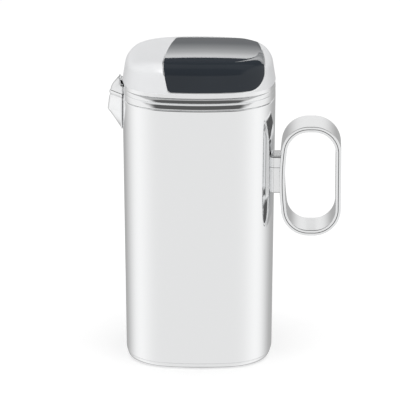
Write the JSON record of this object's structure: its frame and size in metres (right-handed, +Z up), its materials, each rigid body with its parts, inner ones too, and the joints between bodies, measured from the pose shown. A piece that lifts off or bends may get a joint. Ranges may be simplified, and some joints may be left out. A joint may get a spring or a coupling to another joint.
{
  "type": "water pitcher",
  "caption": "Double-wall water pitcher with a rounded square body, pillow-shaped lift-off lid, hinged spout flap and closed loop strap handle.",
  "frame": {"origin": "centre of the foot ring's flat underside, on the table", "axes": "+Z up, -X towards the spout, +X towards the handle, -Y towards the viewer"},
  "size_m": [0.1824, 0.12, 0.2466],
  "materials": {
    "shell": "polished",
    "vessel": "brushed",
    "inner_plastic": "satin",
    "rubber": "matt",
    "base": "polished",
    "screws": "plain",
    "spout": "polished",
    "handle": "polished",
    "bracket": "polished",
    "ring": "polished",
    "dome": "satin silver",
    "trim": "polished",
    "panel": "high gloss"
  },
  "bodies": {
    "body": {"outer_shell": "shell", "neck_ring": "inner_plastic", "inner_vessel": "vessel", "vessel_pad": "rubber", "base_frame": "inner_plastic", "base_cap": "base", "base_screws": "screws", "foot_ring": "rubber", "spout_lip": "spout", "spout_gasket": "rubber", "handle_band": "handle", "body_bracket": "bracket", "handle_block": "bracket", "handle_back_plate": "screws", "handle_screws": "screws"},
    "lid": {"lid_ring": "ring", "lid_dome": "dome", "panel_trim": "trim", "lid_panel": "panel", "lid_liner": "inner_plastic", "lid_gasket": "rubber", "lid_screws": "screws", "flap_pin": "screws"},
    "flap": {"spout_flap": "spout"}
  },
  "joints": [
    {"name": "lid_lift", "type": "slide", "parent": "body", "child": "lid", "axis": [0, 0, 1], "range_m": [0, 0.12]},
    {"name": "flap_hinge", "type": "hinge", "parent": "lid", "child": "flap", "pos_m": [-0.0623, 0, 0.222], "axis": [0, 1, 0], "range_deg": [0, 55]}
  ]
}
